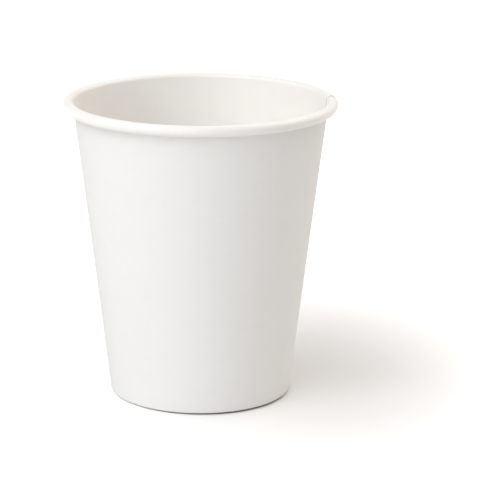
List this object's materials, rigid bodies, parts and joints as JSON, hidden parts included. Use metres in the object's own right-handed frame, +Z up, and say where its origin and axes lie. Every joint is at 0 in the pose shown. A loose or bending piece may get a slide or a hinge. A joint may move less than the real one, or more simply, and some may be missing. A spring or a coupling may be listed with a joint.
{
  "type": "paper coffee cup",
  "caption": "Tapered paper cup for hot drinks, with a rolled rim, a lapped side seam and a raised bottom disc held in a folded foot.",
  "frame": {"origin": "on the table, under the middle of the cup", "axes": "+Z up along the cup's axis; the side seam is at the +X side, a little towards +Y"},
  "size_m": [0.08, 0.08, 0.0876],
  "materials": {
    "wall_board": "matt white board, coated with a thin film on the inside",
    "disc_board": "satin white board, coated with a thin film on the inside"
  },
  "bodies": {
    "root": {"sidewall": "wall_board", "bottom_disc": "disc_board"}
  },
  "joints": []
}
